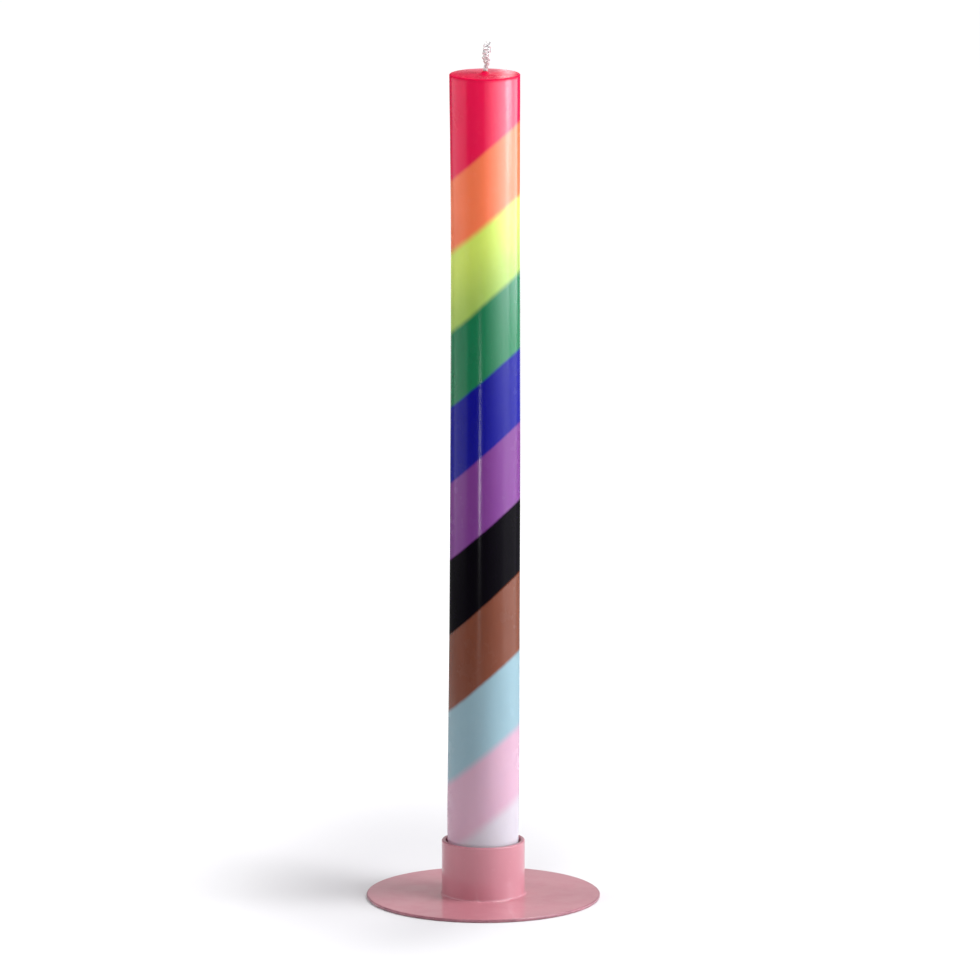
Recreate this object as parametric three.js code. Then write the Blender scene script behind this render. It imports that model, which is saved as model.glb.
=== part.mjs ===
// A straight dinner candle with slanted bands of dyed wax, standing in a sheet-steel holder.
// The holder is a thin round disc with a short tube welded to its middle, and the candle
// lifts out of the tube.
// Millimetres, +Z up. The origin is the centre of the disc's underside.

import * as THREE from 'three';

// Holder
const discDiameter = 84.4;
const discThickness = 1.2;
const discEdgeRadius = 0.4;
const tubeHeight = 20;
const tubeWall = 1.5;
const tubeRimRadius = 0.4;
const weldLeg = 0.8;

// Candle. It is a little wider at its foot than at its top, where its diameter is given.
const candleDiameter = 25;
const footSwell = 0.6;
const candleLength = 300;
const socketClearance = 0.7;
const dyedCoat = 0.8;
const shoulderRadius = 1;

// Wick, and the collar of wax that climbs its foot
const wickDiameter = 2.4;
const wickHoleClearance = 0.1;
const wickTipRadius = 0.5;
const collarHeight = 1;
const collarSpread = 1.2;
const collarLip = 0.3;

// The stub above the wax, as points of sideways lean and height above the candle's top
const stubPoints = [
  { lean: 0, height: 3 },
  { lean: 0.7, height: 4.8 },
  { lean: 0.4, height: 7 },
  { lean: 1, height: 9.1 },
  { lean: 1.6, height: 11.2 },
];

// The bands of dyed wax, from the foot up. They share the candle's length evenly, apart
// from the drift of each band's upper edge along the axis. The edges are flat tilted cuts,
// in degrees, that all rise towards the same side. The red band closes the top.
const stripeHeading = -8;
const stripes = [
  { name: 'band_white', drift: -1.5, tilt: 39, colour: 0xece6ea },
  { name: 'band_pink', drift: -2.7, tilt: 40, colour: 0xe4bcd0 },
  { name: 'band_light_blue', drift: -3, tilt: 41.5, colour: 0xa2cbd8 },
  { name: 'band_brown', drift: -1.8, tilt: 43, colour: 0x9c624a },
  { name: 'band_black', drift: -1.9, tilt: 42, colour: 0x14101a },
  { name: 'band_purple', drift: -1.1, tilt: 42.5, colour: 0x9a55a5 },
  { name: 'band_blue', drift: -1, tilt: 41.5, colour: 0x2b2fa0 },
  { name: 'band_green', drift: -0.8, tilt: 42.5, colour: 0x3f9464 },
  { name: 'band_yellow', drift: 0.1, tilt: 40, colour: 0xdff07a },
  { name: 'band_orange', drift: -0.7, tilt: 41.5, colour: 0xf29066 },
  { name: 'band_red', drift: 0, tilt: 0, colour: 0xe42550 },
];

// Finishes
const paint = { color: 0xd79aa4, roughness: 0.45, metalness: 0 };
const plainWax = { color: 0xf2ece6, roughness: 0.5, metalness: 0 };
const cotton = { color: 0xf3efec, roughness: 0.95, metalness: 0 };
const dyedWax = { roughness: 0.35, metalness: 0 };

// Facets
const discSides = 72;
const roundSides = 48;
const wickSides = 12;
const arcSteps = 2;
const stubSteps = 10;

// Worked out from the sizes above
const candleRadius = candleDiameter / 2;
const footRadius = candleRadius + footSwell / 2;
const coreRadius = candleRadius - dyedCoat;
const tubeBore = footRadius + socketClearance;
const tubeRadius = tubeBore + tubeWall;
const wickRadius = wickDiameter / 2;
const wickHole = wickRadius + wickHoleClearance;
const candleFoot = discThickness;
const candleTop = candleFoot + candleLength;
const stripePitch = candleLength / stripes.length;
const heading = THREE.MathUtils.degToRad(stripeHeading);

// A solid of revolution about +Z. The outline runs anticlockwise in (radius, height).
function turned(outline, sides) {
  return new THREE.LatheGeometry(outline, sides).rotateX(Math.PI / 2);
}

// A ring outline is closed by ending on the point that it starts from.
function closedOutline(path) {
  const points = path.getPoints(arcSteps);
  points.push(points[0].clone());
  return points;
}

function solid(name, geometry, finish) {
  const mesh = new THREE.Mesh(geometry, new THREE.MeshStandardMaterial(finish));
  mesh.name = name;
  return mesh;
}

// Tilts the ring of vertices at one height into a slanted plane through the same point
// of the axis, so that the bands on both sides of an edge meet face to face.
function tiltEdge(geometry, height, tilt) {
  const slope = Math.tan(THREE.MathUtils.degToRad(tilt));
  const position = geometry.attributes.position;
  const onEdge = 1e-3;
  for (let i = 0; i < position.count; i += 1) {
    const z = position.getZ(i);
    if (Math.abs(z - height) < onEdge) {
      const across = position.getX(i) * Math.cos(heading) + position.getY(i) * Math.sin(heading);
      position.setZ(i, height + slope * across);
    }
  }
}

function baseDisc() {
  const radius = discDiameter / 2;
  const edge = discEdgeRadius;
  const outline = new THREE.Path();
  outline.moveTo(0, 0);
  outline.lineTo(radius - edge, 0);
  outline.absarc(radius - edge, edge, edge, -Math.PI / 2, 0, false);
  outline.absarc(radius - edge, discThickness - edge, edge, 0, Math.PI / 2, false);
  outline.lineTo(0, discThickness);
  return turned(outline.getPoints(arcSteps), discSides);
}

function socketTube() {
  const foot = discThickness;
  const rim = foot + tubeHeight - tubeRimRadius;
  const outline = new THREE.Path();
  outline.moveTo(tubeBore, foot);
  outline.lineTo(tubeRadius, foot);
  outline.lineTo(tubeRadius, foot + weldLeg);
  outline.absarc(tubeRadius - tubeRimRadius, rim, tubeRimRadius, 0, Math.PI / 2, false);
  outline.absarc(tubeBore + tubeRimRadius, rim, tubeRimRadius, Math.PI / 2, Math.PI, false);
  return turned(closedOutline(outline), roundSides);
}

// The candle's radius at a height.
function waxRadius(height) {
  const share = (candleTop - height) / candleLength;
  return candleRadius + (footRadius - candleRadius) * share;
}

// The bead in the corner between the tube and the disc.
function socketWeld() {
  const foot = discThickness;
  const reach = tubeRadius + weldLeg;
  const outline = new THREE.Path();
  outline.moveTo(tubeRadius, foot);
  outline.lineTo(reach, foot);
  outline.absarc(reach, foot + weldLeg, weldLeg, -Math.PI / 2, -Math.PI, true);
  return turned(closedOutline(outline), roundSides);
}

function waxCore() {
  const coreTop = candleTop - dyedCoat;
  const outline = new THREE.Path();
  outline.moveTo(wickHole, candleFoot);
  outline.lineTo(coreRadius, candleFoot);
  outline.lineTo(coreRadius, coreTop);
  outline.lineTo(wickHole, coreTop);
  return turned(closedOutline(outline), roundSides);
}

// A sleeve of dyed wax round the core, between two slanted edges.
function bandSleeve(foot, top, footTilt, topTilt) {
  const outline = new THREE.Path();
  outline.moveTo(coreRadius, foot);
  outline.lineTo(waxRadius(foot), foot);
  outline.lineTo(waxRadius(top), top);
  outline.lineTo(coreRadius, top);
  const geometry = turned(closedOutline(outline), roundSides);
  tiltEdge(geometry, foot, footTilt);
  tiltEdge(geometry, top, topTilt);
  return geometry;
}

// The top band closes over the end of the core and climbs the foot of the wick.
function bandCap(foot, footTilt) {
  const shoulder = candleTop - shoulderRadius;
  const lip = wickHole + collarLip;
  const collarTop = candleTop + collarHeight;
  const outline = new THREE.Path();
  outline.moveTo(coreRadius, foot);
  outline.lineTo(waxRadius(foot), foot);
  outline.absarc(candleRadius - shoulderRadius, shoulder, shoulderRadius, 0, Math.PI / 2, false);
  outline.lineTo(lip + collarSpread, candleTop);
  outline.quadraticCurveTo(lip, candleTop, lip, collarTop);
  outline.lineTo(wickHole, collarTop);
  outline.lineTo(wickHole, candleTop - dyedCoat);
  outline.lineTo(coreRadius, candleTop - dyedCoat);
  const geometry = turned(closedOutline(outline), roundSides);
  tiltEdge(geometry, foot, footTilt);
  return geometry;
}

// One cord from the candle's foot to the tip of the stub: straight inside the wax, and
// leaning a little above it.
function wick() {
  const stub = stubPoints.map((p) => new THREE.Vector2(p.lean, candleTop + p.height));
  const line = new THREE.SplineCurve(stub).getPoints(stubSteps);
  const tip = line[line.length - 1];
  const neck = line[line.length - 2];
  const end = tip.clone().lerp(neck, wickTipRadius / tip.distanceTo(neck));
  line.splice(line.length - 1, 0, end);

  const rings = line.map((p) => ({ radius: wickRadius, height: p.y, lean: p.x }));
  rings[rings.length - 1].radius = wickRadius - wickTipRadius;
  rings.unshift({ radius: wickRadius, height: candleFoot, lean: 0 });
  rings.unshift({ radius: 0, height: candleFoot, lean: 0 });
  rings.push({ radius: 0, height: tip.y, lean: tip.x });

  const outline = rings.map((ring) => new THREE.Vector2(ring.radius, ring.height));
  const geometry = turned(outline, wickSides);
  const position = geometry.attributes.position;
  for (let i = 0; i < position.count; i += 1) {
    const ring = rings[i % rings.length];
    position.setX(i, position.getX(i) + ring.lean);
  }
  return geometry;
}

function holder() {
  const group = new THREE.Group();
  group.add(solid('base_disc', baseDisc(), paint));
  group.add(solid('socket_tube', socketTube(), paint));
  group.add(solid('socket_weld', socketWeld(), paint));
  return group;
}

function candle() {
  const group = new THREE.Group();
  group.add(solid('wax_core', waxCore(), plainWax));
  group.add(solid('wick', wick(), cotton));
  let foot = candleFoot;
  let footTilt = 0;
  stripes.forEach((stripe, index) => {
    const top = candleFoot + stripePitch * (index + 1) + stripe.drift;
    const isCap = index === stripes.length - 1;
    const shape = isCap ? bandCap(foot, footTilt) : bandSleeve(foot, top, footTilt, stripe.tilt);
    group.add(solid(stripe.name, shape, { ...dyedWax, color: stripe.colour }));
    foot = top;
    footTilt = stripe.tilt;
  });
  return group;
}

const part = new THREE.Group();
part.add(holder());
part.add(candle());

export default part;
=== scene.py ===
import math
import random
from collections import namedtuple

import bpy
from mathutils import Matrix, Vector, noise


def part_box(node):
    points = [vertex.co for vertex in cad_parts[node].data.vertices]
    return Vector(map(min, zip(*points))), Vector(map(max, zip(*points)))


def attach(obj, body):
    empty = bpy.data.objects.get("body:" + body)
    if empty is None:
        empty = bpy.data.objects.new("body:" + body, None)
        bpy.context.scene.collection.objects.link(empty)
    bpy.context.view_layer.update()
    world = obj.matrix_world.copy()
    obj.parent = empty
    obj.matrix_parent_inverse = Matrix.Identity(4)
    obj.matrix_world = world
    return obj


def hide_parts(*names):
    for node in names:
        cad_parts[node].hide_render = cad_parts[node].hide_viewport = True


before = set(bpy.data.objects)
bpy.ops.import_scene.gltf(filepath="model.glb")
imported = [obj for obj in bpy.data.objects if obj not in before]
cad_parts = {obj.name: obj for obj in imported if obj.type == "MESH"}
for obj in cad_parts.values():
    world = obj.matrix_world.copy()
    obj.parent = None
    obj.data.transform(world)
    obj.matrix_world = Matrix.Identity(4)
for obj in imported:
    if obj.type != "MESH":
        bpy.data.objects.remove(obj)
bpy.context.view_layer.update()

MM = 0.001

# Sizes of the holder, taken from the frame where it has them. Inside the disc's hub, its
# flat faces run to a point in its centre.
DISC_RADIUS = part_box("base_disc")[1].x
DISC_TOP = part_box("base_disc")[1].z
DISC_EDGE = 0.45 * MM
DISC_HUB = 8 * MM
TUBE_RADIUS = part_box("socket_tube")[1].x
TUBE_WALL = 1.5 * MM
TUBE_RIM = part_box("socket_tube")[1].z
TUBE_RIM_ROUND = 0.5 * MM
WELD_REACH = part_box("socket_weld")[1].x
WELD_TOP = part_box("socket_weld")[1].z
WELD_RIPPLE = 0.1 * MM
WELD_RIPPLES = 60

# Sizes of the candle: a core, and the coat of dyed wax round it
CANDLE_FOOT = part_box("wax_core")[0].z
CORE_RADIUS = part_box("wax_core")[1].x
CORE_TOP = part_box("wax_core")[1].z
COAT = 0.8 * MM
CANDLE_RADIUS = CORE_RADIUS + COAT
CANDLE_TOP = CORE_TOP + COAT
FOOT_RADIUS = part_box("band_white")[1].x
FOOT_ROUND = 0.5 * MM
SHOULDER = 0.45 * MM
CROWN = 0.1 * MM

# The wick, the hole that the wax leaves for it, and the collar of wax that climbs it
WICK_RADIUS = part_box("wick")[1].y
WICK_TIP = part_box("wick")[1].z
WICK_LIFT = 0.45 * MM
WICK_HOLE = WICK_RADIUS - 0.1 * MM
COLLAR_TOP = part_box("band_red")[1].z
COLLAR_FOOT = 2.6 * MM
COLLAR_LIP = WICK_RADIUS - 0.25 * MM
COLLAR_NECK = WICK_RADIUS - 0.5 * MM
COLLAR_DIP = 0.15 * MM

# The slanted edges all rise towards this side
STRIPE_HEADING = math.radians(-8)

# The candle's slight bow, which it has from hanging while its wax set
BOW = 0.9 * MM
BOW_START = 0.024
BOW_SPAN = 0.37
FOOT_SHIFT = -0.1 * MM

# How far the dipped wax stands proud of the frame's even taper, up its height, both in
# millimetres: it thins above the middle and thickens again at the top
PROUD = [
    (0, 0), (20, 0.05), (30, 0.22), (50, 0.2), (75, 0.1), (100, 0), (165, -0.02),
    (220, -0.1), (240, -0.14), (258, -0.11), (280, 0.02), (292, 0.15), (301, 0.2),
]

# The unevenness of the dipped wax: how deep, and its bumps a metre round and up the candle
RIPPLE = 0.03 * MM
RIPPLE_ROUND = 70
RIPPLE_UP = 28

# The wick's stub: height above the candle's top, and lean, in millimetres
STUB = [(0, 0), (1.5, 0.3), (3.6, 0.9), (5.6, 0.75), (7.5, 0.8), (9.4, 1.2), (11.2, 1.6)]

# The wick's plait of strands, and the twist of the yarns in each strand
STRANDS = 3
YARNS = 3
YARN_RADIUS = 0.44 * MM
YARN_STEP = 0.4 * MM
YARN_SIDES = 8
PLAIT_LENGTH = 4.4 * MM
PLAIT_WIDTH = 0.66 * MM
PLAIT_DEPTH = 0.4 * MM
TWIST_LENGTH = 1.9 * MM
TWIST_RADIUS = 0.3 * MM

# The plait is drawn in where it leaves the wax, and splays out again above that: by how
# much of its width, from what height above the candle's top and over what length, in
# millimetres
DRAWN_IN = 0.45
WAIST_START = -1
WAIST_LENGTH = 1.2
SPLAYED_OUT = 0.9
SPLAY_START = 3
SPLAY_LENGTH = 2.5

# Loose fibres on the stub. How far each reaches out and lifts up is drawn between two
# values, in millimetres.
FIBRES = 34
FIBRE_SEED = 7
FIBRE_RADIUS = 0.035 * MM
FIBRE_REACH = (0.5, 1.1)
FIBRE_LIFT = (0.1, 0.7)
FIBRE_SIDES = 4
FIBRE_STEPS = 4
FIBRE_SAG = 0.5 * MM

# Where a flat face meets a rounding, a ring this far inside it keeps the flat face flat
FLAT_MARGIN = 0.08 * MM

# How finely the pieces are cut: sides round the axis, rings up a wall, steps round a small
# edge, and the angle in degrees above which an edge stays sharp
SIDES = 160
CORE_SIDES = 96
WELD_SIDES = 240
SLEEVE_RINGS = 28
CAP_RINGS = 26
INNER_RINGS = 6
CORE_RINGS = 60
EDGE_STEPS = 5
SHARP_ANGLE = 32

# The camera: its place and how far it sees, in metres, how far it looks down, in degrees,
# and its lens and sensor, in millimetres
CAMERA_PLACE = (0.00242, -4.0, 0.9413)
CAMERA_REACH = 50
CAMERA_TILT = 11.193
CAMERA_LENS = 417
CAMERA_SENSOR = 36

# The floor: its size, where it starts and ends its fade to the white backdrop and how
# strongly it shines there, and the same for its clearing to white outside the shadow
FLOOR_RADIUS = 6
SWEEP_START = 0.1
SWEEP_END = 0.45
SWEEP_GLOW = 0.7
GLOW_START = 0.03
GLOW_END = 0.1
GLOW = 0.28

# The shadow lies to the left of the candle, and reaches further behind it than before it:
# distances that way count for less
SHADOW_SHIFT = 0.02
SHADOW_BEHIND = 0.4
SHADOW_BEFORE = 0.7

# The floor's colour near the object, far from it, and in the light that it throws back
FLOOR_NEAR = (0.77, 0.76, 0.78, 1)
FLOOR_FAR = (0.3, 0.3, 0.3, 1)
FLOOR_BOUNCE = (0.6, 0.58, 0.59, 1)

# The backdrop, and the light that it gives. The object mirrors the floor and the backdrop
# as white only straight behind itself: the cosines of the angle between which that fades in.
WHITE = (1, 1, 1, 1)
ROOM_LIGHT = 0.1
FLOOR_BEHIND = (0.955, 0.995)
BACKDROP_BEHIND = (0.992, 1.0)

# Lamps: name, place, the point that it faces, width and height in metres, and watts. The
# shadow lamp casts the soft shadow on the floor, and the snoots light the wick alone with a
# narrow beam, in degrees.
SHADOW_LAMP = ("shadow lamp", (0.62, -0.165, 0.9), (0, 0, 0), (0.6, 0.6), 8.3)
LAMPS = [
    ("top card", (0.0092, 0.1, 0.319), (0.0092, 0, 0.302), (0.004, 0.03), 0.0017),
    ("back card", (0, 0.5, 0.12), (0, 0, 0.02), (0.7, 0.1), 0.1),
    ("low right card", (0.3, 0.01, 0.07), (0, 0, 0.07), (0.36, 0.14), 0.075),
    ("right lamp", (0.72, -0.3, 0.4), (0, 0, 0.14), (0.4, 0.4), 0.9),
    ("back lamp", (0.32, 0.8, 1.2), (0, 0, 0.1), (0.4, 0.6), 4),
    ("left lamp", (-0.77, 0.03, 0.6), (0, 0, 0.12), (0.4, 0.4), 3.35),
    ("front fill", (-0.08, -0.2, 0.42), (0, 0, 0.3), (0.12, 0.12), 0.22),
    ("sliver", (-0.147, -0.478, 0.069), (0, 0, 0.069), (0.036, 0.048), 0.073),
    ("near left panel", (-0.5, 0.026, 0.068), (0, 0, 0.068), (0.6, 0.075), 0.07),
    ("left wick snoot", (-0.12, -0.16, 0.3135), (0, 0, 0.3135), (0.008, 0.006), 0.00033),
    ("right wick snoot", (0.12, -0.16, 0.3135), (0, 0, 0.3135), (0.008, 0.006), 0.00033),
]
NOT_MIRRORED = ("right lamp", "left lamp")
ONLY_MIRRORED = ("near left panel",)
SNOOTS = ("left wick snoot", "right wick snoot")
SNOOT_SPREAD = 4

# Low panels of light round the candle, which its wax mirrors: name, bearing from the
# camera's side towards the right in degrees, width, lowest and highest points in metres,
# and power in watts
LOW_PANELS = [
    ("key strip", 83, 0.31, 0.09, 0.24, 1.65),
    ("soft strip", 83, 0.52, 0.09, 0.24, 1.6),
    ("right panel", 112, 0.7, 0.04, 0.08, 0.45),
    ("upper right panel", 112, 0.7, 0.08, 0.24, 1.25),
    ("left panel", -99, 1.5, 0.04, 0.24, 0.8),
]
PANEL_DISTANCE = 1.0
PANEL_COLOUR = (0.9, 0.94, 1)

# A fan of such panels side by side, from the camera's side to the right, which brightens
# step by step up to its last but one: bearing, width, and watts a square metre
FAN = [
    (6, 0.21, 2.7), (17.5, 0.193, 5.3), (28.5, 0.193, 8.2), (39.5, 0.193, 12.2),
    (50.5, 0.193, 16.5), (61.5, 0.193, 20), (76, 0.317, 14),
]
FAN_LOW = 0.04
FAN_HIGH = 0.24


def srgb(red, green, blue):
    """A colour as it is written on a screen, 0 to 255, as Blender's linear colour."""
    values = []
    for value in (red, green, blue):
        share = value / 255
        values.append(share / 12.92 if share <= 0.04045 else ((share + 0.055) / 1.055) ** 2.4)
    return (*values, 1)


# The bands from the foot up. Softness and wander are how softly a band's upper edge runs
# into the next dye and how far that edge wanders, in millimetres. Shine is how well the wax
# is polished, and bloom is its pale haze.
Band = namedtuple("Band", "name colour softness wander shine bloom")
BANDS = [
    Band("white", srgb(203, 197, 205), 3.0, 1.2, 0.4, 0.03),
    Band("pink", srgb(206, 167, 187), 2.3, 1.2, 0.42, 0.02),
    Band("light_blue", srgb(145, 177, 188), 1.1, 0.8, 0.45, 0.02),
    Band("brown", srgb(121, 58, 31), 0.8, 0.6, 0.7, 0.003),
    Band("black", srgb(3, 0, 7), 0.8, 0.6, 0.1, 0.0005),
    Band("purple", srgb(123, 52, 139), 0.8, 0.6, 0.6, 0.004),
    Band("blue", srgb(7, 6, 142), 1.0, 0.7, 0.34, 0.003),
    Band("green", srgb(11, 121, 76), 1.7, 1.0, 0.58, 0.005),
    Band("yellow", srgb(211, 232, 102), 2.1, 1.1, 0.45, 0.02),
    Band("orange", srgb(250, 124, 80), 1.1, 0.8, 0.5, 0.02),
    Band("red", srgb(234, 18, 76), 0.5, 0.3, 0.5, 0.006),
]

# How much of the dye below has crept up into a band at its lower edge, and how far it reaches
CREPT = {"yellow": 0.4}
CREPT_REACH = 26 * MM
CREPT_WANDER = 4 * MM

# The edge between two bands: its height on the axis, and its slope
Edge = namedtuple("Edge", "height slope")

# Wax: its colour without dye, what deepens its colour, its pale haze, and how much its
# pinholes darken it
WAX_COLOUR = srgb(238, 233, 226)
WAX_DEPTH = (0.82, 0.8, 0.84, 1)
WAX_BLOOM = (0.9, 0.89, 0.9, 1)
PINHOLE_SHADE = 0.35

# The layers of relief, as shares of the coarsest one: fine grain, wiping lines and
# pinholes in wax, and fine peel and specks in powder coat
GRAIN_HEIGHT = 0.06
WIPED_HEIGHT = 0.04
PINHOLE_DEPTH = 0.08
PEEL_HEIGHT = 0.25
SPECK_HEIGHT = 0.4

# How much of the dulling is in patches, and how much in wiping lines
PATCH_DULLING = 0.8
WIPED_DULLING = 0.2

# The dyed coat has a clear polished skin. It weakens where it is seen aslant, from the
# first value of the Layer Weight's facing to the second, down to a share.
DYED_RELIEF = 0.025 * MM
DYED_SPECULAR = 0.12
DYED_POLISH = 1.5
ASLANT = (0.5, 0.8)
ASLANT_POLISH = 0.38
DYED_WAX = {
    "IOR": 1.44,
    "Coat IOR": 1.6,
    "Coat Roughness": 0.19,
    "Subsurface Weight": 0.2,
    "Subsurface Radius": (1.0, 0.7, 0.55),
    "Subsurface Scale": 0.6 * MM,
}
UNDYED_RELIEF = 0.12 * MM
UNDYED_WAX = {
    "Subsurface Weight": 0.3,
    "Subsurface Radius": (1.0, 0.8, 0.6),
    "Subsurface Scale": 3 * MM,
}

# The candle's top side: darker all over with painted shade, with a painted pale sheen from
# near its middle to its back, and duller and flatter than the wall
TOP_START = CANDLE_TOP - 1.5 * MM
TOP_END = CANDLE_TOP - 0.4 * MM
TOP_PAINTED_SHADE = (0.88, 0.8, 0.8, 1)
TOP_PAINTED_SHEEN = (0.9, 0.7, 0.8, 1)
SHEEN_START = -2 * MM
SHEEN_MOST = 0.22
TOP_DULLER = 0.05
TOP_FLATTER = 0.8

# Powder coat. It is darker along the disc's edge, where it is worn and also painted with
# shade, and along the tube's rim, where it is worn: how far in, how much at least and how
# much more where it is rubbed, and the rim's share of that.
PAINT_COLOUR = srgb(197, 128, 140)
PAINT_UNEVEN = srgb(188, 122, 136)
PAINT_EDGE_DARK = srgb(136, 84, 97)
PAINT_SPECK = srgb(226, 172, 180)
DISC_EDGE_DARKENING = 0.8 * MM
RIM_WEAR = 0.5 * MM
LEAST_DARKENING = 0.5
RUBBED_DARKENING = 0.4
RIM_SHARE = 0.5
PAINT_RELIEF = 0.018 * MM
PAINT = {
    "Coat Weight": 0.5,
    "Coat Roughness": 0.08,
}

# Cotton. In millimetres above the candle's top, the dyed wax that it has soaked up ends, and
# the painted shade on the left of the stub's bend starts and ends. The painted shade reaches
# from the left to its edge, in millimetres from the candle's axis.
COTTON_DIM = srgb(222, 216, 217)
COTTON_BRIGHT = srgb(238, 234, 235)
COTTON_GREYED = srgb(222, 212, 212)
COTTON_BEND_SHADE = srgb(192, 188, 186)
COTTON_DYED = srgb(246, 204, 214)
COTTON_RELIEF = 0.03 * MM
SOAKED_END = (1.2, 3.0)
SOAKED_RAGGED = 1.6 * MM
BEND_SHADE_LOW = (3.2, 4.4)
BEND_SHADE_HIGH = (6.2, 7.4)
BEND_SHADE_EDGE = (0.6, 1.4)
BEND_SHADE_DEPTH = 0.75
COTTON = {
    "Sheen Weight": 0.4,
    "Subsurface Weight": 0.6,
    "Subsurface Radius": (1.0, 0.95, 0.95),
    "Subsurface Scale": 0.8 * MM,
}


# Modelling

def clamp(share):
    return min(1, max(0, share))


def arc(centre, radius, start, end, steps):
    """Points round part of a circle in (radius, height), from one angle to another in degrees."""
    points = []
    for i in range(steps + 1):
        angle = math.radians(start + (end - start) * i / steps)
        points.append((centre[0] + radius * math.cos(angle), centre[1] + radius * math.sin(angle)))
    return points


def line(start, end, steps):
    """Points along a straight line in (radius, height), without the last one."""
    return [
        (start[0] + (end[0] - start[0]) * i / steps, start[1] + (end[1] - start[1]) * i / steps)
        for i in range(steps)
    ]


def turned(name, outline, sides=SIDES):
    """A closed solid of revolution, drawn as an outline and spun about the candle's axis."""
    bpy.ops.object.select_all(action="DESELECT")
    bpy.ops.mesh.primitive_plane_add(size=MM, location=(0, 0, 0))
    piece = bpy.context.object
    piece.name = name
    bpy.ops.object.mode_set(mode="EDIT")
    bpy.ops.mesh.select_all(action="SELECT")
    bpy.ops.mesh.merge(type="CENTER")
    bpy.ops.transform.translate(value=(outline[0][0], 0, outline[0][1]))
    for here, there in zip(outline, outline[1:]):
        step = (there[0] - here[0], 0, there[1] - here[1])
        bpy.ops.mesh.extrude_region_move(TRANSFORM_OT_translate={"value": step})
    bpy.ops.mesh.select_all(action="SELECT")
    bpy.ops.mesh.spin(steps=sides, angle=math.tau, center=(0, 0, 0), axis=(0, 0, 1))
    bpy.ops.mesh.select_all(action="SELECT")
    bpy.ops.mesh.remove_doubles(threshold=0.002 * MM)
    bpy.ops.mesh.normals_make_consistent(inside=False)
    bpy.ops.object.mode_set(mode="OBJECT")
    return piece


def select_only(piece):
    bpy.ops.object.select_all(action="DESELECT")
    piece.select_set(True)
    bpy.context.view_layer.objects.active = piece


def finish_piece(piece, body, material, slot, *nodes):
    """Gives a piece its finish, its body and the frame's nodes that it stands for."""
    select_only(piece)
    bpy.ops.object.shade_smooth_by_angle(angle=math.radians(SHARP_ANGLE))
    piece.data.materials.clear()
    piece.data.materials.append(material)
    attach(piece, body)
    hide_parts(*nodes)


# Candle

def stripe_edge(lower, upper):
    """The cut between two bands of the frame."""
    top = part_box("band_" + lower)[1].z
    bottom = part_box("band_" + upper)[0].z
    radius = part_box("band_" + upper)[1].x
    return Edge((top + bottom) / 2, (top - bottom) / (2 * radius))


def slant(piece, low, high):
    """Tilts a band's rings, from the slope of its lower edge to that of its upper edge."""
    for vertex in piece.data.vertices:
        place = vertex.co
        share = clamp((place.z - low.height) / (high.height - low.height))
        across = place.x * math.cos(STRIPE_HEADING) + place.y * math.sin(STRIPE_HEADING)
        place.z += across * (low.slope * (1 - share) + high.slope * share)


def bow(height):
    """How far the candle's axis has moved sideways at a height."""
    share = max(0, height - BOW_START) / BOW_SPAN
    return FOOT_SHIFT + BOW * math.sin(math.pi * min(share, 1))


def swell(height):
    """How far the wax stands out at a height, past the frame's radius at the candle's top."""
    taper = (FOOT_RADIUS - CANDLE_RADIUS) * (CANDLE_TOP - height) / (CANDLE_TOP - CANDLE_FOOT)
    above = height / MM
    for (z0, out0), (z1, out1) in zip(PROUD, PROUD[1:]):
        if above <= z1:
            share = (above - z0) / (z1 - z0)
            return taper + (out0 + (out1 - out0) * share) * MM
    return PROUD[-1][1] * MM


def hand_dipped(piece):
    """Gives the wax its bow, its swell and the faint unevenness of a dipped surface."""
    for vertex in piece.data.vertices:
        place = vertex.co
        radius = Vector((place.x, place.y)).length
        on_skin = clamp((radius - CORE_RADIUS) / COAT)
        spot = Vector((place.x * RIPPLE_ROUND, place.y * RIPPLE_ROUND, place.z * RIPPLE_UP))
        if radius > 0:
            out = (swell(place.z) + RIPPLE * noise.noise(spot)) * on_skin
            place.x += place.x / radius * out
            place.y += place.y / radius * out
        place.x += bow(place.z)


def dyed_band(name, outside, low, high):
    """A band of dyed wax from the outline of its outside, which the core's wall closes."""
    inside = line(outside[-1], outside[0], INNER_RINGS)[1:]
    piece = turned(name + "_wax", [*outside, *inside, outside[0]])
    slant(piece, low, high)
    hand_dipped(piece)
    return piece


def band_sleeve(name, low, high):
    outside = [(CORE_RADIUS, low.height)]
    wall_foot = low.height
    if name == "white":
        wall_foot += FOOT_ROUND
        outside += arc((CANDLE_RADIUS - FOOT_ROUND, wall_foot), FOOT_ROUND, -90, 0, 4)[:-1]
    outside += line((CANDLE_RADIUS, wall_foot), (CANDLE_RADIUS, high.height), SLEEVE_RINGS)
    outside += [(CANDLE_RADIUS, high.height), (CORE_RADIUS, high.height)]
    return dyed_band(name, outside, low, high)


def band_cap(name, low):
    """The top band: its wall, its rounded shoulder, the slightly crowned top and the collar
    of wax that climbs the wick."""
    high = Edge(CANDLE_TOP - CROWN - SHOULDER, 0)
    outside = [(CORE_RADIUS, low.height)]
    outside += line((CANDLE_RADIUS, low.height), (CANDLE_RADIUS, high.height), CAP_RINGS)
    outside += arc((CANDLE_RADIUS - SHOULDER, high.height), SHOULDER, 0, 86, 12)
    outside += crowned_top(outside[-1])
    outside += wick_collar()
    outside += [(COLLAR_NECK, COLLAR_TOP - COLLAR_DIP), (WICK_HOLE, CORE_TOP)]
    outside.append((CORE_RADIUS, CORE_TOP))
    return dyed_band(name, outside, low, high)


def crowned_top(rim):
    """The top's outline from its rim in to the collar, where it has become level."""
    steps = 12
    points = []
    for i in range(1, steps + 1):
        share = i / steps
        radius = rim[0] + (COLLAR_FOOT - rim[0]) * share
        rise = (CANDLE_TOP - rim[1]) * (1 - (1 - share) ** 2)
        points.append((radius, rim[1] + rise))
    return points


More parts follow.
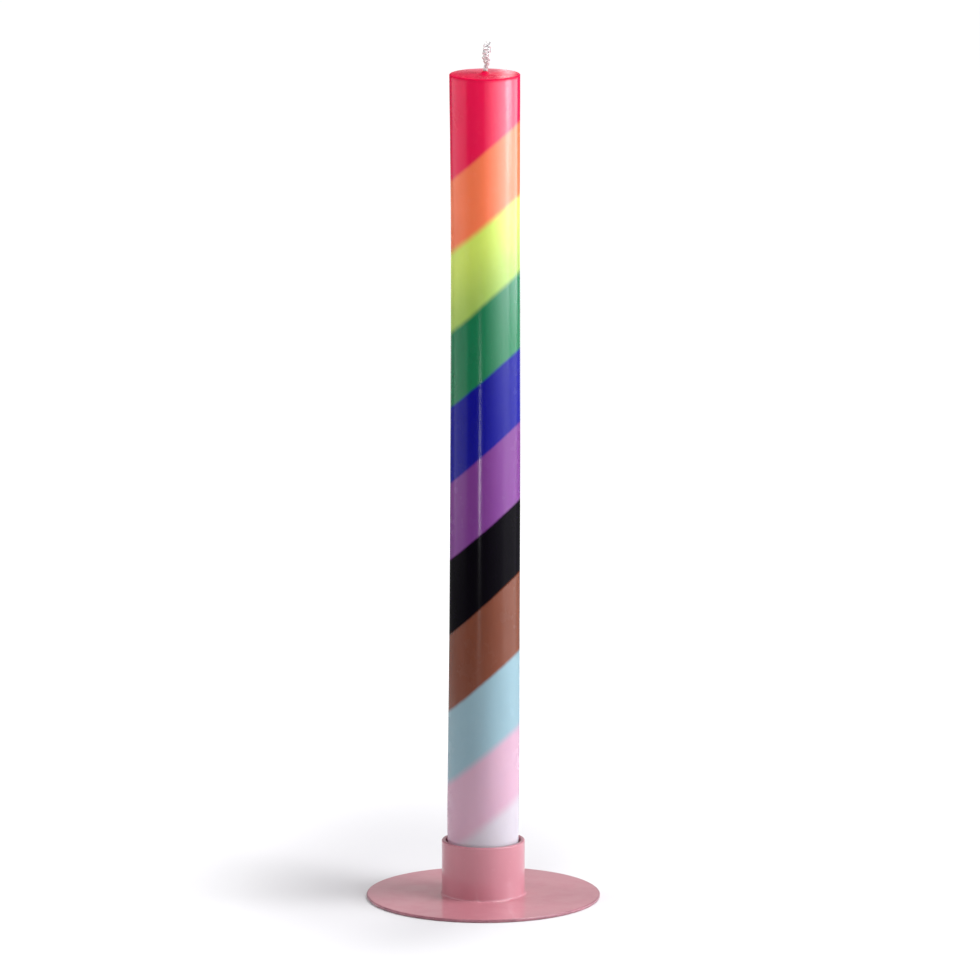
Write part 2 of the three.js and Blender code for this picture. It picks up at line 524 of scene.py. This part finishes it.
def wick_collar():
    """The collar's outline, which starts level and climbs ever steeper to its lip."""
    steps = 10
    points = []
    for i in range(1, steps + 1):
        share = i / steps
        radius = COLLAR_FOOT + (COLLAR_LIP - COLLAR_FOOT) * (1 - (1 - share) ** 1.7)
        points.append((radius, CANDLE_TOP + (COLLAR_TOP - CANDLE_TOP) * share ** 2.2))
    return points


def core():
    """The undyed candle inside, with the wick's hole."""
    outline = [(WICK_HOLE, CANDLE_FOOT)]
    outline += line((CORE_RADIUS, CANDLE_FOOT), (CORE_RADIUS, CORE_TOP), CORE_RINGS)
    outline.append((CORE_RADIUS, CORE_TOP))
    outline += line((WICK_HOLE, CORE_TOP), (WICK_HOLE, CANDLE_FOOT), CORE_RINGS)
    outline.append(outline[0])
    piece = turned("white_core", outline, CORE_SIDES)
    hand_dipped(piece)
    return piece


# Wick

def stub_lean(height):
    """The stub's sideways lean at a height, which eases from each of its points to the next."""
    above = (height - CANDLE_TOP) / MM
    if above <= STUB[0][0]:
        return 0
    for (z0, x0), (z1, x1) in zip(STUB, STUB[1:]):
        if above <= z1:
            share = (above - z0) / (z1 - z0)
            return (x0 + (x1 - x0) * share * share * (3 - 2 * share)) * MM
    return STUB[-1][1] * MM


def yarn_point(height, strand, yarn):
    """The middle of one yarn: strands plait round the wick, and yarns twist in a strand."""
    plait = math.tau * (height / PLAIT_LENGTH + strand / STRANDS)
    twist = math.tau * (height / TWIST_LENGTH + yarn / YARNS)
    above = (height - CANDLE_TOP) / MM
    waist = clamp((above - WAIST_START) / WAIST_LENGTH)
    splay = clamp((above - SPLAY_START) / SPLAY_LENGTH)
    width = 1 - DRAWN_IN * waist + SPLAYED_OUT * splay
    x = width * (PLAIT_WIDTH * math.sin(plait) + TWIST_RADIUS * math.cos(twist))
    y = width * (PLAIT_DEPTH * math.sin(2 * plait) + TWIST_RADIUS * math.sin(twist))
    return Vector((x + stub_lean(height) + bow(height), y, height))


def tube_through(name, points, radius, sides):
    """A round thread along some points, as a closed mesh."""
    bpy.ops.object.select_all(action="DESELECT")
    bpy.ops.curve.primitive_nurbs_path_add(location=(0, 0, 0))
    thread = bpy.context.object
    thread.name = name
    shape = thread.data
    shape.splines.clear()
    spline = shape.splines.new("POLY")
    spline.points.add(len(points) - 1)
    for place, point in zip(spline.points, points):
        place.co = (*point, 1)
    shape.bevel_depth = radius
    shape.bevel_resolution = sides // 2 - 2
    shape.use_fill_caps = True
    bpy.ops.object.convert(target="MESH")
    return bpy.context.object


def join(pieces, name):
    select_only(pieces[0])
    for piece in pieces:
        piece.select_set(True)
    bpy.ops.object.join()
    pieces[0].name = name
    return pieces[0]


def wick():
    """Strands of plaited yarns, with loose fibres on the stub. The yarns of a strand end a
    step apart, and their feet are clear of the disc."""
    foot = CANDLE_FOOT + WICK_LIFT
    count = round((WICK_TIP - foot) / YARN_STEP)
    heights = [foot + (WICK_TIP - foot) * i / count for i in range(count + 1)]
    threads = []
    for strand in range(STRANDS):
        for yarn in range(YARNS):
            reached = heights[:len(heights) - yarn]
            points = [yarn_point(height, strand, yarn) for height in reached]
            threads.append(tube_through("yarn", points, YARN_RADIUS, YARN_SIDES))
    threads += loose_fibres()
    return join(threads, "braided_wick")


def loose_fibres():
    """Fibres that stand out of the stub, every other one of them near its tip."""
    draw = random.Random(FIBRE_SEED)
    fibres = []
    for i in range(FIBRES):
        height = draw.uniform(COLLAR_TOP + 0.5 * MM, WICK_TIP - 0.3 * MM)
        if i % 2:
            height = WICK_TIP - draw.uniform(0, 1) * MM
        root = yarn_point(height, i % STRANDS, (i // STRANDS) % YARNS)
        turn = draw.uniform(0, math.tau)
        reach = draw.uniform(*FIBRE_REACH) * MM
        lift = draw.uniform(*FIBRE_LIFT) * MM
        shares = [k / FIBRE_STEPS for k in range(FIBRE_STEPS + 1)]
        points = [root + fibre_curl(share, turn, reach, lift) for share in shares]
        fibres.append(tube_through("fibre", points, FIBRE_RADIUS, FIBRE_SIDES))
    return fibres


def fibre_curl(share, turn, reach, lift):
    """How far a fibre has got from its root, at a share of its length."""
    away = reach * share
    return Vector((
        away * math.cos(turn + share),
        away * math.sin(turn + share),
        lift * share - FIBRE_SAG * share * share,
    ))


# Holder

def disc():
    rim = DISC_RADIUS - DISC_EDGE
    flat = rim - FLAT_MARGIN
    outline = [(0, 0)]
    outline += line((DISC_HUB, 0), (flat, 0), 8)
    outline.append((flat, 0))
    outline += arc((rim, DISC_EDGE), DISC_EDGE, -90, 0, EDGE_STEPS)
    outline += arc((rim, DISC_TOP - DISC_EDGE), DISC_EDGE, 0, 90, EDGE_STEPS)
    outline += line((flat, DISC_TOP), (DISC_HUB, DISC_TOP), 12)
    outline += [(DISC_HUB, DISC_TOP), (0, DISC_TOP)]
    return turned("pink_disc", outline)


def tube():
    bore = TUBE_RADIUS - TUBE_WALL
    rim = TUBE_RIM - TUBE_RIM_ROUND
    flat = rim - FLAT_MARGIN
    outline = [(bore, DISC_TOP)]
    outline += line((TUBE_RADIUS, DISC_TOP), (TUBE_RADIUS, flat), 12)
    outline.append((TUBE_RADIUS, flat))
    outline += arc((TUBE_RADIUS - TUBE_RIM_ROUND, rim), TUBE_RIM_ROUND, 0, 90, EDGE_STEPS)
    outline += arc((bore + TUBE_RIM_ROUND, rim), TUBE_RIM_ROUND, 90, 180, EDGE_STEPS)
    outline += line((bore, flat), (bore, DISC_TOP), 8)
    outline.append(outline[0])
    return turned("pink_tube", outline)


def weld():
    """A fillet with the slight ripple of a run bead."""
    leg = WELD_TOP - DISC_TOP
    outline = [(TUBE_RADIUS, DISC_TOP), (WELD_REACH, DISC_TOP)]
    outline += arc((WELD_REACH, WELD_TOP), leg, -90, -180, 6)[1:]
    outline.append(outline[0])
    piece = turned("weld_bead", outline, WELD_SIDES)
    for vertex in piece.data.vertices:
        place = vertex.co
        radius = Vector((place.x, place.y)).length
        free = min(radius - TUBE_RADIUS, place.z - DISC_TOP) / leg
        angle = math.atan2(place.y, place.x)
        wave = math.sin(WELD_RIPPLES * angle + 2 * math.sin(3 * angle))
        ripple = WELD_RIPPLE * free * wave
        place.x += place.x / radius * ripple
        place.y += place.y / radius * ripple
    return piece


# Shader nodes

def add(tree, kind, values=None, **settings):
    """A shader node with its settings. Each value is a constant, or a socket to link."""
    made = tree.nodes.new("ShaderNode" + kind)
    for key, value in settings.items():
        setattr(made, key, value)
    for key, value in (values or {}).items():
        if isinstance(value, bpy.types.NodeSocket):
            tree.links.new(value, made.inputs[key])
        else:
            made.inputs[key].default_value = value
    return made


def maths(tree, operation, first, second=0.0, third=0.0):
    return add(tree, "Math", {0: first, 1: second, 2: third}, operation=operation).outputs[0]


def blend(tree, share, first, second, kind="MIX"):
    """A mix of two colours."""
    colours = {0: share, 6: first, 7: second}
    return add(tree, "Mix", colours, data_type="RGBA", blend_type=kind).outputs[2]


def ramp(tree, value, low, high, to_low=0.0, to_high=1.0):
    """A value that goes smoothly from one level to another between low and high."""
    levels = {0: value, 1: low, 2: high, 3: to_low, 4: to_high}
    return add(tree, "MapRange", levels, interpolation_type="SMOOTHSTEP").outputs[0]


def cloud(tree, place, scale, detail=3.0, roughness=0.5, stretch=(1, 1, 1), shift=(0, 0, 0)):
    """Noise on Object coordinates, scale in bumps a metre."""
    mapped = add(tree, "Mapping", {"Vector": place, "Scale": stretch, "Location": shift})
    made = add(tree, "TexNoise", {
        "Vector": mapped.outputs[0], "Scale": scale, "Detail": detail, "Roughness": roughness,
    })
    return made.outputs[0]


def dots(tree, place, scale, radius, patches):
    """Soft dots inside the patches, scale in dots a metre, radius as a share of their pitch."""
    cells = add(tree, "TexVoronoi", {"Vector": place, "Scale": scale})
    marks = ramp(tree, cells.outputs["Distance"], radius, 2 * radius, 1.0, 0.0)
    return maths(tree, "MULTIPLY", marks, patches)


def split_place(tree, place):
    return add(tree, "SeparateXYZ", {0: place}).outputs


def new_group(name, inputs, outputs):
    """An empty shader node group. Returns it with its inner inputs and outputs."""
    tree = bpy.data.node_groups.new(name, "ShaderNodeTree")
    kinds = {"value": "NodeSocketFloat", "colour": "NodeSocketColor", "place": "NodeSocketVector"}
    for label, kind in inputs.items():
        tree.interface.new_socket(label, in_out="INPUT", socket_type=kinds[kind])
    for label, kind in outputs.items():
        tree.interface.new_socket(label, in_out="OUTPUT", socket_type=kinds[kind])
    return tree, tree.nodes.new("NodeGroupInput").outputs, tree.nodes.new("NodeGroupOutput").inputs


def use(tree, group, values):
    return add(tree, "Group", values, node_tree=group).outputs


def dye_edge_group():
    """How much of the dye above a slanted edge has reached a place, 0 below and 1 above."""
    tree, given, result = new_group(
        "dye edge",
        {"Place": "place", "Height": "value", "Slope": "value", "Softness": "value",
         "Wander": "value", "Bow": "value"},
        {"Above": "value"},
    )
    place = given["Place"]
    split = split_place(tree, place)
    x = maths(tree, "SUBTRACT", split[0], given["Bow"])
    east = maths(tree, "MULTIPLY", x, math.cos(STRIPE_HEADING))
    rise = maths(tree, "MULTIPLY_ADD", split[1], math.sin(STRIPE_HEADING), east)
    edge = maths(tree, "MULTIPLY_ADD", rise, given["Slope"], given["Height"])
    above = maths(tree, "SUBTRACT", split[2], edge)
    slow = cloud(tree, place, scale=90, detail=2.0)
    fine = cloud(tree, place, scale=600, roughness=0.6)
    fine_share = 0.35
    mixed = maths(tree, "MULTIPLY_ADD", fine, fine_share, slow)
    wander = maths(tree, "SUBTRACT", mixed, (1 + fine_share) / 2)
    above = maths(tree, "MULTIPLY_ADD", wander, given["Wander"], above)
    under = maths(tree, "MULTIPLY", given["Softness"], -1.0)
    tree.links.new(ramp(tree, above, under, given["Softness"]), result["Above"])
    return tree


def wax_tone_group():
    """Dyed wax as it sets: cloudy depth of colour, pale bloom and a few pinholes."""
    tree, given, result = new_group(
        "wax tone",
        {"Place": "place", "Colour": "colour", "Cloudiness": "value", "Bloom": "value"},
        {"Colour": "colour", "Pinholes": "value"},
    )
    place = given["Place"]
    slow = cloud(tree, place, scale=75, roughness=0.55, stretch=(1, 1, 0.45))
    dark = ramp(tree, slow, 0.35, 0.7)
    deep = blend(tree, 1.0, given["Colour"], WAX_DEPTH, "MULTIPLY")
    share = maths(tree, "MULTIPLY", dark, given["Cloudiness"])
    toned = blend(tree, share, given["Colour"], deep)
    mist = cloud(tree, place, 260, detail=4.0, roughness=0.65, stretch=(1, 1, 0.6), shift=(3, 1, 0))
    haze = maths(tree, "MULTIPLY", ramp(tree, mist, 0.52, 0.78), given["Bloom"])
    misted = blend(tree, haze, toned, WAX_BLOOM)
    patches = ramp(tree, cloud(tree, place, scale=300, detail=1.0, shift=(5, 2, 1)), 0.68, 0.76)
    pinholes = dots(tree, place, 420.0, 0.05, patches)
    pitted = blend(tree, maths(tree, "MULTIPLY", pinholes, PINHOLE_SHADE), misted, deep)
    tree.links.new(pitted, result["Colour"])
    tree.links.new(pinholes, result["Pinholes"])
    return tree


def handled_gloss_group():
    """Gloss that handling and wiping have dulled in patches and in fine lines."""
    tree, given, result = new_group(
        "handled gloss",
        {"Place": "place", "Glossy": "value", "Dull": "value"},
        {"Roughness": "value"},
    )
    place = given["Place"]
    patches = ramp(tree, cloud(tree, place, scale=110, roughness=0.6), 0.38, 0.72)
    wiped = cloud(tree, place, scale=1500, detail=2.0, stretch=(1, 1, 0.06))
    lines = ramp(tree, wiped, 0.5, 0.72)
    mixed = maths(tree, "MULTIPLY", patches, PATCH_DULLING)
    mixed = maths(tree, "MULTIPLY_ADD", lines, WIPED_DULLING, mixed)
    span = maths(tree, "SUBTRACT", given["Dull"], given["Glossy"])
    tree.links.new(maths(tree, "MULTIPLY_ADD", mixed, span, given["Glossy"]), result["Roughness"])
    return tree


def dipped_surface_group():
    """The height of a dipped wax surface: soft ripples, fine grain and wiping lines."""
    tree, given, result = new_group(
        "dipped surface",
        {"Place": "place", "Pinholes": "value"},
        {"Height": "value"},
    )
    place = given["Place"]
    ripples = cloud(tree, place, scale=160, detail=2.0, roughness=0.4, stretch=(1, 1, 0.35))
    grain = cloud(tree, place, scale=1800, roughness=0.6)
    lines = cloud(tree, place, scale=2600, detail=1.0, stretch=(1, 1, 0.05))
    height = maths(tree, "MULTIPLY_ADD", grain, GRAIN_HEIGHT, ripples)
    height = maths(tree, "MULTIPLY_ADD", lines, WIPED_HEIGHT, height)
    height = maths(tree, "MULTIPLY_ADD", given["Pinholes"], -PINHOLE_DEPTH, height)
    tree.links.new(height, result["Height"])
    return tree


def powder_coat_group():
    """Powder coat: its orange-peel height, and specks where a grain didn't melt in."""
    tree, given, result = new_group(
        "powder coat",
        {"Place": "place"},
        {"Height": "value", "Specks": "value"},
    )
    place = given["Place"]
    peel = cloud(tree, place, scale=700, detail=2.0, roughness=0.45)
    fine = cloud(tree, place, scale=2400, detail=2.0)
    height = maths(tree, "MULTIPLY_ADD", fine, PEEL_HEIGHT, peel)
    patches = ramp(tree, cloud(tree, place, scale=500, detail=1.0), 0.6, 0.66)
    specks = dots(tree, place, 900.0, 0.08, patches)
    height = maths(tree, "MULTIPLY_ADD", specks, SPECK_HEIGHT, height)
    tree.links.new(height, result["Height"])
    tree.links.new(specks, result["Specks"])
    return tree


# Finishes

def new_material(name):
    """An empty material. Returns it with its node tree and its Object coordinates."""
    material = bpy.data.materials.new(name)
    material.use_nodes = True
    tree = material.node_tree
    tree.nodes.clear()
    return material, tree, add(tree, "TexCoord").outputs["Object"]


def surface(tree, height, relief, values):
    """Ends a material: its relief, that deep, and a Principled shader with its values."""
    bump = add(tree, "Bump", {"Height": height, "Distance": relief, "Strength": 1.0})
    shader = add(tree, "BsdfPrincipled", {"Normal": bump.outputs[0], **values})
    add(tree, "OutputMaterial", {0: shader.outputs[0]})


def dye_above(tree, groups, place, edge, softness, wander, lift=0.0):
    """How much of the dye above an edge, raised by lift, has reached a place."""
    return use(tree, groups["dye edge"], {
        "Place": place, "Height": edge.height + lift, "Slope": edge.slope,
        "Softness": softness, "Wander": wander, "Bow": bow(edge.height),
    })["Above"]


def from_below(tree, groups, place, edge, band, below):
    """A band's dye, with the dye of the band below where it has run or crept in."""
    dye = band.colour
    if band.name in CREPT:
        reach = CREPT_REACH / 2
        clear = dye_above(tree, groups, place, edge, reach, CREPT_WANDER, lift=reach)
        crept = maths(tree, "MULTIPLY_ADD", clear, -CREPT[band.name], CREPT[band.name])
        dye = blend(tree, crept, dye, below.colour)
    share = dye_above(tree, groups, place, edge, below.softness * MM, below.wander * MM)
    return blend(tree, share, below.colour, dye)


def from_above(tree, groups, place, edge, band, above, dye):
    """A band's dye, with the dye of the band above where that has run in."""
    crept = CREPT.get(above.name, 0)
    fringe = [there + (here - there) * crept for here, there in zip(band.colour, above.colour)]
    share = dye_above(tree, groups, place, edge, band.softness * MM, band.wander * MM)
    return blend(tree, share, dye, fringe)


def band_dye(tree, groups, place, index, edges):
    band = BANDS[index]
    dye = band.colour
    if index > 0:
        dye = from_below(tree, groups, place, edges[index], band, BANDS[index - 1])
    if index < len(BANDS) - 1:
        dye = from_above(tree, groups, place, edges[index + 1], band, BANDS[index + 1], dye)
    return dye


def top_colour(tree, split, colour):
    """The colour of the candle's top side: painted shade all over it, and a painted pale sheen
    towards its back.
    """
    shaded_top = blend(tree, 1.0, colour, TOP_PAINTED_SHADE, "MULTIPLY")
    sheen_share = ramp(tree, split[1], SHEEN_START, CANDLE_RADIUS, 0.0, SHEEN_MOST)
    return blend(tree, sheen_share, shaded_top, TOP_PAINTED_SHEEN)


def polish(tree, on_top, shine):
    """The weight of the wax's clear skin, which the top lacks and which weakens aslant."""
    on_side = maths(tree, "SUBTRACT", 1.0, on_top)
    weight = maths(tree, "MULTIPLY", on_side, DYED_POLISH * shine)
    aslant = add(tree, "LayerWeight", {"Blend": 0.5}).outputs["Facing"]
    return maths(tree, "MULTIPLY", weight, ramp(tree, aslant, *ASLANT, 1.0, ASLANT_POLISH))


def wax_finish(index, edges, groups):
    """Dyed wax for one band, which runs softly into the dyes below and above it. The top
    side is duller and flatter than the candle's wall."""
    band = BANDS[index]
    material, tree, place = new_material(band.name + " wax")
    toned = use(tree, groups["wax tone"], {
        "Place": place, "Colour": band_dye(tree, groups, place, index, edges),
        "Cloudiness": 0.22, "Bloom": band.bloom,
    })
    gloss = use(tree, groups["handled gloss"], {"Place": place, "Glossy": 0.2, "Dull": 0.32})
    relief = use(tree, groups["dipped surface"], {"Place": place, "Pinholes": toned["Pinholes"]})
    split = split_place(tree, place)
    on_top = ramp(tree, split[2], TOP_START, TOP_END)
    # The top side's colour holds painted shade and a painted pale sheen towards its back
    top = top_colour(tree, split, toned["Colour"])
    flatter = maths(tree, "MULTIPLY_ADD", on_top, -TOP_FLATTER, 1.0)
    height = maths(tree, "MULTIPLY", relief["Height"], flatter)
    surface(tree, height, DYED_RELIEF, {
        "Base Color": blend(tree, on_top, toned["Colour"], top),
        "Roughness": maths(tree, "MULTIPLY_ADD", on_top, TOP_DULLER, gloss["Roughness"]),
        "Coat Weight": polish(tree, on_top, band.shine),
        "Specular IOR Level": DYED_SPECULAR * band.shine,
        **DYED_WAX,
    })
    return material


def core_finish(groups):
    """Undyed wax, drier and duller than the dyed coat."""
    material, tree, place = new_material("undyed wax")
    toned = use(tree, groups["wax tone"], {
        "Place": place, "Colour": WAX_COLOUR, "Cloudiness": 0.6, "Bloom": 0.2,
    })
    gloss = use(tree, groups["handled gloss"], {"Place": place, "Glossy": 0.42, "Dull": 0.62})
    relief = use(tree, groups["dipped surface"], {"Place": place, "Pinholes": toned["Pinholes"]})
    surface(tree, relief["Height"], UNDYED_RELIEF, {
        "Base Color": toned["Colour"], "Roughness": gloss["Roughness"], **UNDYED_WAX,
    })
    return material


def worn_and_shaded_edges(tree, place):
    """How dark the paint is along its edges: most along the disc's edge, where it is worn and
    painted with shade, and half as much at the tube's rim, where it is worn.
    """
    split = split_place(tree, place)
    square = maths(tree, "MULTIPLY", split[0], split[0])
    square = maths(tree, "MULTIPLY_ADD", split[1], split[1], square)
    radius = maths(tree, "SQRT", square)
    disc_edge = ramp(tree, radius, DISC_RADIUS - DISC_EDGE_DARKENING, DISC_RADIUS)
    rim = ramp(tree, split[2], TUBE_RIM - RIM_WEAR, TUBE_RIM)
    edges = maths(tree, "MAXIMUM", disc_edge, maths(tree, "MULTIPLY", rim, RIM_SHARE))
    rub = ramp(tree, cloud(tree, place, scale=240, detail=4.0, roughness=0.6), 0.35, 0.7)
    darkening = maths(tree, "MULTIPLY_ADD", rub, RUBBED_DARKENING, LEAST_DARKENING)
    return maths(tree, "MULTIPLY", edges, darkening)


def paint_finish(groups):
    """Pink powder coat on steel, satin, a little thinner and darker along its edges, with
    painted shade as well along the disc's edge.
    """
    material, tree, place = new_material("pink powder coat")
    coat = use(tree, groups["powder coat"], {"Place": place})
    gloss = use(tree, groups["handled gloss"], {"Place": place, "Glossy": 0.3, "Dull": 0.44})
    uneven = ramp(tree, cloud(tree, place, scale=60), 0.3, 0.75)
    tinted = blend(tree, maths(tree, "MULTIPLY", uneven, 0.35), PAINT_COLOUR, PAINT_UNEVEN)
    # Darker along the edges: worn paint, and painted shade along the disc's edge
    tinted = blend(tree, worn_and_shaded_edges(tree, place), tinted, PAINT_EDGE_DARK)
    tinted = blend(tree, maths(tree, "MULTIPLY", coat["Specks"], 0.5), tinted, PAINT_SPECK)
    surface(tree, coat["Height"], PAINT_RELIEF, {
        "Base Color": tinted, "Roughness": gloss["Roughness"], **PAINT,
    })
    return material


def stub_ramp(tree, height, span, to_low, to_high):
    """A value that changes over a span of the stub, in millimetres above the candle's top."""
    low, high = span
    return ramp(tree, height, CANDLE_TOP + low * MM, CANDLE_TOP + high * MM, to_low, to_high)


def stub_bend_shade(tree, split):
    """How dark the painted shade is on the left of the stub's bend."""
    over = stub_ramp(tree, split[2], BEND_SHADE_LOW, 0.0, 1.0)
    under = stub_ramp(tree, split[2], BEND_SHADE_HIGH, 1.0, 0.0)
    left = ramp(tree, split[0], BEND_SHADE_EDGE[0] * MM, BEND_SHADE_EDGE[1] * MM, BEND_SHADE_DEPTH, 0.0)
    return maths(tree, "MULTIPLY", maths(tree, "MULTIPLY", over, under), left)


def cotton_finish():
    """Cotton yarn: fine fibres along it, and dyed wax drawn up its foot."""
    material, tree, place = new_material("waxed cotton")
    fibres = cloud(tree, place, scale=5200, roughness=0.6, stretch=(1, 1, 0.22))
    clumps = cloud(tree, place, scale=900, detail=2.0)
    split = split_place(tree, place)
    ragged = maths(tree, "MULTIPLY_ADD", clumps, SOAKED_RAGGED, split[2])
    soaked = stub_ramp(tree, ragged, SOAKED_END, 1.0, 0.0)
    greyed = maths(tree, "MULTIPLY", ramp(tree, clumps, 0.5, 0.72), 0.35)
    cotton = blend(tree, fibres, COTTON_DIM, COTTON_BRIGHT)
    cotton = blend(tree, greyed, cotton, COTTON_GREYED)
    # Painted shade on the left of the stub's bend
    cotton = blend(tree, stub_bend_shade(tree, split), cotton, COTTON_BEND_SHADE)
    cotton = blend(tree, maths(tree, "MULTIPLY", soaked, 0.12), cotton, COTTON_DYED)
    surface(tree, fibres, COTTON_RELIEF, {
        "Base Color": cotton, "Roughness": ramp(tree, soaked, 0.0, 1.0, 0.9, 0.45), **COTTON,
    })
    return material


# Assembly

def build_candle(groups):
    names = [band.name for band in BANDS]
    edges = [Edge(CANDLE_FOOT, 0)]
    edges += [stripe_edge(low, high) for low, high in zip(names, names[1:])]
    for index, name in enumerate(names):
        if index < len(names) - 1:
            piece = band_sleeve(name, edges[index], edges[index + 1])
        else:
            piece = band_cap(name, edges[index])
        wax = wax_finish(index, edges, groups)
        finish_piece(piece, "candle", wax, "wax_" + name, "band_" + name)
    finish_piece(core(), "candle", core_finish(groups), "core_wax", "wax_core")
    finish_piece(wick(), "candle", cotton_finish(), "wick_cotton", "wick")


def build_holder(groups):
    paint = paint_finish(groups)
    finish_piece(disc(), "holder", paint, "holder_paint", "base_disc")
    finish_piece(tube(), "holder", paint, "holder_paint", "socket_tube")
    finish_piece(weld(), "holder", paint, "holder_paint", "socket_weld")


# Studio

def seen(tree, rays, behind):
    """1 for the camera, and for a mirrored ray that goes straight behind the object."""
    mirrored = maths(tree, "MAXIMUM", rays["Is Glossy Ray"], rays["Is Transmission Ray"])
    mirrored = maths(tree, "MULTIPLY", mirrored, behind)
    return maths(tree, "MAXIMUM", rays["Is Camera Ray"], mirrored)


def length(tree, place):
    return add(tree, "VectorMath", {0: place}, operation="LENGTH").outputs["Value"]


def outside_shadow(tree, split):
    """How brightly the floor shines round the shadow."""
    aside = maths(tree, "ADD", split[0], SHADOW_SHIFT)
    before = maths(tree, "MULTIPLY", split[1], -SHADOW_BEFORE)
    ahead = maths(tree, "MAXIMUM", maths(tree, "MULTIPLY", split[1], SHADOW_BEHIND), before)
    halo = add(tree, "CombineXYZ", {0: aside, 1: ahead}).outputs[0]
    return ramp(tree, length(tree, halo), GLOW_START, GLOW_END, 0.0, GLOW)


def floor_finish():
    material, tree, place = new_material("floor")
    split = split_place(tree, place)
    rays = add(tree, "LightPath").outputs
    distance = length(tree, place)
    far = ramp(tree, distance, SWEEP_START, SWEEP_END)
    pale = blend(tree, far, FLOOR_NEAR, FLOOR_FAR)
    pale = blend(tree, rays["Is Diffuse Ray"], pale, FLOOR_BOUNCE)
    matte = add(tree, "BsdfDiffuse", {"Color": pale})
    behind = ramp(tree, maths(tree, "DIVIDE", split[1], distance), *FLOOR_BEHIND)
    glow = maths(tree, "MULTIPLY_ADD", far, SWEEP_GLOW, outside_shadow(tree, split))
    glow = maths(tree, "MULTIPLY", seen(tree, rays, behind), glow)
    lift = add(tree, "Emission", {"Color": WHITE, "Strength": glow})
    total = add(tree, "AddShader", {0: matte.outputs[0], 1: lift.outputs[0]})
    add(tree, "OutputMaterial", {0: total.outputs[0]})
    return material


def floor():
    """A pale floor that keeps the shadows near the object and fades to a white backdrop."""
    bpy.ops.object.select_all(action="DESELECT")
    bpy.ops.mesh.primitive_circle_add(
        vertices=96, radius=FLOOR_RADIUS, fill_type="NGON", location=(0, 0, 0),
    )
    ground = bpy.context.object
    ground.name = "floor"
    ground.data.materials.append(floor_finish())


def softbox(name, place, aim, size, power, colour=(1, 1, 1)):
    """A rectangular lamp that faces a point. The camera doesn't see it."""
    bpy.ops.object.light_add(type="AREA", location=place)
    lamp = bpy.context.object
    lamp.name = name
    lamp.data.shape = "RECTANGLE"
    lamp.data.size, lamp.data.size_y = size
    lamp.data.energy = power
    lamp.data.color = colour
    direction = Vector(aim) - Vector(place)
    lamp.rotation_euler = direction.to_track_quat("-Z", "Y").to_euler()
    lamp.visible_camera = False
    lamp.visible_glossy = name not in NOT_MIRRORED
    lamp.visible_diffuse = name not in ONLY_MIRRORED
    if name in SNOOTS:
        lamp.data.spread = math.radians(SNOOT_SPREAD)


def low_panel(name, bearing, width, low, high, power):
    turn = math.radians(bearing)
    middle = (low + high) / 2
    place = (PANEL_DISTANCE * math.sin(turn), -PANEL_DISTANCE * math.cos(turn), middle)
    softbox(name, place, (0, 0, middle), (width, high - low), power, PANEL_COLOUR)


def lights():
    softbox(*SHADOW_LAMP)
    for panel in LOW_PANELS:
        low_panel(*panel)
    for bearing, width, brightness in FAN:
        power = brightness * width * (FAN_HIGH - FAN_LOW)
        low_panel("fan panel", bearing, width, FAN_LOW, FAN_HIGH, power)
    for lamp in LAMPS:
        softbox(*lamp)


def backdrop():
    """White to the camera and straight behind the object, and dim as light on it."""
    world = bpy.data.worlds.new("studio")
    world.use_nodes = True
    tree = world.node_tree
    tree.nodes.clear()
    rays = add(tree, "LightPath").outputs
    direction = add(tree, "TexCoord").outputs["Generated"]
    behind = ramp(tree, split_place(tree, direction)[1], *BACKDROP_BEHIND)
    strength = maths(tree, "MULTIPLY_ADD", seen(tree, rays, behind), 1 - ROOM_LIGHT, ROOM_LIGHT)
    background = add(tree, "Background", {"Color": WHITE, "Strength": strength})
    add(tree, "OutputWorld", {0: background.outputs[0]})
    bpy.context.scene.world = world
    bpy.context.scene.view_settings.view_transform = "Standard"


def camera():
    """A long lens, just to the right of the candle's axis."""
    bpy.ops.object.camera_add(location=CAMERA_PLACE)
    eye = bpy.context.object
    eye.data.sensor_width = CAMERA_SENSOR
    eye.data.lens = CAMERA_LENS
    eye.data.clip_end = CAMERA_REACH
    eye.rotation_euler = (math.radians(90) - math.radians(CAMERA_TILT), 0, 0)
    bpy.context.scene.camera = eye


shared = {
    "dye edge": dye_edge_group(),
    "wax tone": wax_tone_group(),
    "handled gloss": handled_gloss_group(),
    "dipped surface": dipped_surface_group(),
    "powder coat": powder_coat_group(),
}
camera()
build_candle(shared)
build_holder(shared)
floor()
lights()
backdrop()
